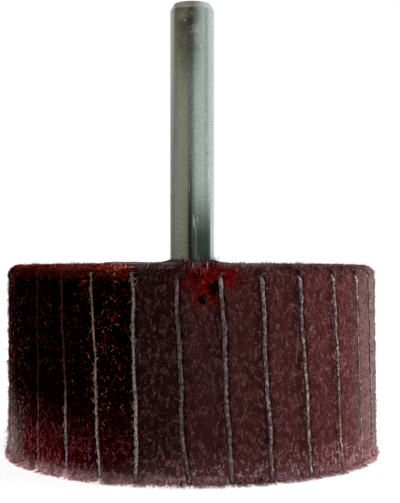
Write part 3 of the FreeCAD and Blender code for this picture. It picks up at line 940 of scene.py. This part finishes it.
def make_fibre():
    """The loose fibres, each of its own tone."""
    material, tree, shader, place = new_material("web_fibre")
    tone, dim = carried(tree, "tone"), past_middle(tree, place)
    x, _, z = axes_of(tree, place)
    # Painted shade: fibres past the middle to the left are darker, all but the palest.
    painted_dimming = product(tree, dim, ranged(tree, tone, 0.75, 0.55, 0.0, 0.6))
    colour = mixed(tree, painted_dimming, ramped(tree, tone, FIBRE_SHADES), FIBRE_SHADE)
    # Painted highlights: the palest fibres past the middle to the left turn pale.
    colour = mixed(tree, product(tree, dim, ranged(tree, tone, 0.69, 0.80)), colour, FIBRE_PAINTED_HIGHLIGHT)
    # Within the painted shade only some clusters of fibre take painted light, most of them beside the cloth
    # and near the middle.
    clusters = effect(tree, CLOUDS, place, scale=330.0, share=0.55, softness=0.12)
    clusters = product(tree, clusters, ranged(tree, x, -19 * MM, -22 * MM, 0.4, 1.0))
    beside = ranged(tree, carried(tree, "across"), 0.1, 0.7)
    beside = product(tree, beside, ranged(tree, x, -16 * MM, -12 * MM))
    near_middle = ranged(tree, x, -11.5 * MM, -9.5 * MM)
    clusters = maths(tree, "MAXIMUM", maths(tree, "MAXIMUM", clusters, beside), near_middle)
    lit = product(tree, clusters, ranged(tree, tone, 0.22, 0.36))
    lit = product(tree, lit, ranged(tree, noise_over(tree, place, 3600.0, 1.0), 0.43, 0.52))
    specks = mixed(tree, ranged(tree, tone, 0.52, 0.70), PAINTED_LIT_SPECK, PAINTED_LIT_SPECK_PALE)
    # Painted shade with lit specks, and painted bounce light at the left foot.
    painted_shade, foot = mixed(tree, lit, DEEP_PAINTED_SHADE, specks), mixed(tree, ranged(tree, tone, 0.3, 0.9), WINE_PAINTED_BOUNCE, WINE_PAINTED_BOUNCE_PALE)
    # Painted glow at the foot of the left limb.
    grey = mixed(tree, ranged(tree, tone, 0.2, 0.8), GROUND_PAINTED_LIMB_GLOW, FIBRE_PAINTED_LIMB_GLOW)
    # Painted glow near the floor.
    pale = mixed(tree, ranged(tree, tone, 0.25, 0.85), FIBRE_PAINTED_GLOW, FIBRE_PAINTED_GLOW_PALE)
    colour = by_place(tree, place, colour, painted_shade, foot, grey, pale)
    fresh, dark_ones = ranged(tree, tone, 0.90, 0.60), ranged(tree, tone, 0.85, 0.45)
    dye = mixed(tree, ranged(tree, tone, 0.2, 0.7), FIBRE_FRESH, FIBRE_FRESH_PALE)
    dye = mixed(tree, ranged(tree, z, 24.9 * MM, 25.6 * MM), dye, FIBRE_FRESH_TOP)
    # The fibres in the holes are painted dark as shade.
    layers = (fresh, dye, FRESH_PATCHES), (dark_ones, SMEAR, SMEARS), (dark_ones, WEB_HOLE_PAINTED_SHADE, HOLES)
    tree.links.new(marked(tree, place, colour, layers), shader.inputs["Base Color"])
    shader.inputs["Specular IOR Level"].default_value = 0.0
    shader.inputs["Roughness"].default_value = 0.6
    return material


ground_material, fibre_material = make_ground(), make_fibre()
for flap in range(FLAP_COUNT):
    rng = np.random.default_rng(100 + flap)
    ground, ground_faces, ground_places = web_ground(flap)
    # The ground's tone is only its painted shade beside the cloth flaps.
    points, faces, tones, places = [ground], list(ground_faces), [painted_gap_shade(ground_places)], [ground_places]
    for kind in FIBRE_KINDS:
        made, made_faces, made_tones, made_places = curls(flap, rng, *kind)
        first = sum(len(p) for p in points)
        points.append(made)
        faces += [[first + corner for corner in face] for face in made_faces]
        tones.append(made_tones)
        places.append(made_places)
    web = new_piece(f"nonwoven_flap_{flap + 1:02d}_web", np.concatenate(points).tolist(), faces,
                    [ground_material, fibre_material])
    kinds = [0] * len(ground_faces) + [1] * (len(faces) - len(ground_faces))
    web.data.polygons.foreach_set("material_index", kinds)
    set_values(web.data, "tone", np.concatenate(tones))
    set_values(web.data, "across", np.concatenate(places))
    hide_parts(f"nonwoven_flap_{flap + 1:02d}")
    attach(web, "root")


# The studio
# A pale floor under a white surround. Broad lamps on the right light the wheel, the strongest of them from
# a little behind it, so its left side stays in shade, as in the photograph.
FLOOR_SIZE = 6.0
FLOOR_GREY = (0.30, 0.30, 0.30, 1)
WHITE = (1, 1, 1, 1)
SURROUND_LIGHT = 0.012
LAMPS = (
    # name, azimuth and elevation in degrees from the camera's side, distance, width, height, power
    ("window", 92, 13, 0.60, 0.35, 0.40, 4.3),
    ("front_light", 48, 10, 0.60, 0.30, 0.35, 2.35),
    ("side_light", 118, 14, 0.60, 0.35, 0.40, 10.5),
    ("back_light", -140, 20, 0.60, 0.35, 0.40, 0.3),
    ("overhead", 40, 78, 0.70, 0.50, 0.50, 0.2),
)
# The shades of the room that the steel shows, by the azimuth in degrees from the front to the right.
SCREEN_RADIUS = 0.45
SCREEN_HEIGHT = 0.50
SCREEN_TURNS = 90
SCREEN_SHADES = (
    (-180, (0.75, 0.76, 0.74, 1)), (-118, (0.62, 0.62, 0.58, 1)), (-96, (0.30, 0.30, 0.28, 1)),
    (-72, (0.42, 0.40, 0.30, 1)), (-24, (0.40, 0.38, 0.28, 1)), (-14, (0.16, 0.17, 0.14, 1)),
    (8, (0.20, 0.22, 0.20, 1)), (16, (0.66, 0.73, 0.70, 1)), (72, (0.76, 0.83, 0.79, 1)),
    (80, (0.30, 0.36, 0.33, 1)), (90, (0.46, 0.52, 0.49, 1)), (98, (1.0, 1.0, 1.0, 1)),
)
# The floor glows toward the wheel, unseen by the camera, as painted bounce light at its foot, most of all in
# front on the left.
BOUNCE_ALL_ROUND = 0.12
BOUNCE_SPOT = 3.2
BRIGHT_SPOT = (-25 * MM, -15 * MM, 0)
BRIGHT_REACH = 24 * MM
CAMERA_AZIMUTH = 2.7
CAMERA_DISTANCE = 154.6 * MM
CAMERA_HEIGHT = 27.45 * MM
PHOTO_WIDTH, PHOTO_HEIGHT = 400, 503
FOCAL_PIXELS = 1128
AXIS_PIXEL = 192.14
HORIZON_PIXEL = 249.0
SENSOR = 36.0


def seen_directly(tree):
    """1 where a ray comes from the camera, a mirror or glass, and 0 where it only lights something."""
    path = node(tree, "LightPath").outputs
    seen = maths(tree, "MAXIMUM", path["Is Camera Ray"], path["Is Glossy Ray"])
    return maths(tree, "MAXIMUM", seen, path["Is Transmission Ray"])


scene = bpy.context.scene
scene.view_settings.view_transform = "Standard"

world = bpy.data.worlds.new("white_surround")
world.use_nodes = True
scene.world = world
tree = world.node_tree
level = node(tree, "MapRange", {"Value": seen_directly(tree), "To Min": SURROUND_LIGHT, "To Max": 1.0})
tree.links.new(level.outputs["Result"], tree.nodes["Background"].inputs["Strength"])
tree.nodes["Background"].inputs["Color"].default_value = WHITE

floor_material, tree, shader, place = new_material("pale_floor")
shader.inputs["Base Color"].default_value = FLOOR_GREY
shader.inputs["Roughness"].default_value = 0.9
far = node(tree, "VectorMath", {0: place}, operation="LENGTH").outputs["Value"]
glow = ranged(tree, far, 0.02, 0.09, 0.88, 1.0)
from_spot = node(tree, "VectorMath", {0: place, 1: BRIGHT_SPOT}, operation="DISTANCE").outputs["Value"]
# Painted bounce light: the floor's glow toward the wheel.
all_round = ranged(tree, far, 0.06, 0.03, 0.0, BOUNCE_ALL_ROUND)
spot = ranged(tree, from_spot, BRIGHT_REACH, 0.2 * BRIGHT_REACH, 0.0, BOUNCE_SPOT)
bounce = maths(tree, "ADD", all_round, spot)
seen = node(tree, "LightPath").outputs["Is Camera Ray"]
strength = node(tree, "Mix", {"Factor": seen, "A": bounce, "B": glow}, data_type="FLOAT")
tree.links.new(strength.outputs["Result"], shader.inputs["Emission Strength"])
shader.inputs["Emission Color"].default_value = WHITE
reach = FLOOR_SIZE / 2
floor = new_piece("floor", [(-reach, -reach, 0), (reach, -reach, 0), (reach, reach, 0), (-reach, reach, 0)],
                  [(0, 1, 2, 3)], [floor_material])


def direction(azimuth, elevation):
    """The way from the wheel to a place seen at these degrees right of the camera and above the floor."""
    a, e = math.radians(azimuth + CAMERA_AZIMUTH), math.radians(elevation)
    return Vector((math.sin(a) * math.cos(e), -math.cos(a) * math.cos(e), math.sin(e)))


def make_screen():
    """The shades round the set, as emission, so that steel shows them and nothing else does."""
    material = bpy.data.materials.new("screen_shades")
    material.use_nodes = True
    tree = material.node_tree
    tree.nodes.clear()
    x, y, _ = axes_of(tree, node(tree, "TexCoord").outputs["Object"])
    turn = maths(tree, "ARCTAN2", x, product(tree, y, -1.0))
    share = node(tree, "MapRange", {"Value": turn, "From Min": -math.pi, "From Max": math.pi}).outputs[0]
    stops = [((azimuth + 180) / 360, colour) for azimuth, colour in SCREEN_SHADES]
    colour = ramped(tree, share, stops + [(1.0, stops[-1][1])])
    glow = node(tree, "Emission", {"Color": colour})
    node(tree, "OutputMaterial", {"Surface": glow.outputs["Emission"]})
    return material


def stand(name, thing, toward, location):
    """Puts a lamp or the camera in its place, facing back along the way to it."""
    holder = bpy.data.objects.new(name, thing)
    holder.location = location
    holder.rotation_mode = "QUATERNION"
    holder.rotation_quaternion = toward.to_track_quat("Z", "Y")
    scene.collection.objects.link(holder)
    return holder


points, faces = [], []
for i in range(SCREEN_TURNS):
    x, y, _ = at_angle(SCREEN_RADIUS, 2 * math.pi * (i + 0.5) / SCREEN_TURNS, 0)
    points += [(x, y, 0), (x, y, SCREEN_HEIGHT)]
    after = (i + 1) % SCREEN_TURNS
    faces.append((2 * i, 2 * after, 2 * after + 1, 2 * i + 1))
screen = new_piece("screen", points, faces, [make_screen()])
screen.visible_camera = screen.visible_diffuse = screen.visible_shadow = False

for name, azimuth, elevation, distance, width, height, power in LAMPS:
    lamp = bpy.data.lights.new(name, "AREA")
    lamp.shape = "RECTANGLE"
    lamp.size, lamp.size_y, lamp.energy = width, height, power
    toward = direction(azimuth, elevation)
    stand(name, lamp, toward, toward * distance).visible_glossy = False

camera = bpy.data.cameras.new("camera")
camera.sensor_width = SENSOR
camera.lens = FOCAL_PIXELS / PHOTO_HEIGHT * SENSOR
camera.shift_x = (PHOTO_WIDTH / 2 - AXIS_PIXEL) / PHOTO_HEIGHT
camera.shift_y = (HORIZON_PIXEL - PHOTO_HEIGHT / 2) / PHOTO_HEIGHT
camera.clip_start = 0.01
back = direction(0, 0)
scene.camera = stand("camera", camera, back, back * CAMERA_DISTANCE + Vector((0, 0, CAMERA_HEIGHT)))
